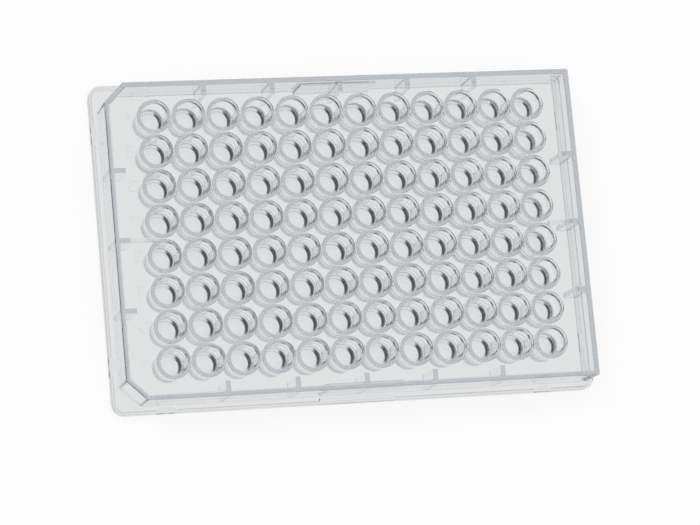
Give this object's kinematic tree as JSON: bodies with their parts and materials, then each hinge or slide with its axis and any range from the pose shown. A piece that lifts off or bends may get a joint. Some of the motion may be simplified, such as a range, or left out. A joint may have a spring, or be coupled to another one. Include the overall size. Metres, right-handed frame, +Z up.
{
  "type": "well plate",
  "caption": "Clear moulded plate with a grid of small round-bottomed wells under raised rims, standing on a flange, for holding and testing many small liquid samples side by side.",
  "frame": {"origin": "middle of the flange's outline, on the surface that the plate stands on", "axes": "+X along the rows from column 1 to column 12, +Y across them towards row A, +Z up out of the wells' mouths"},
  "size_m": [0.1278, 0.0854, 0.0143],
  "materials": {
    "clear_plastic": "gloss"
  },
  "bodies": {
    "root": {"plate": "clear_plastic"}
  },
  "joints": []
}
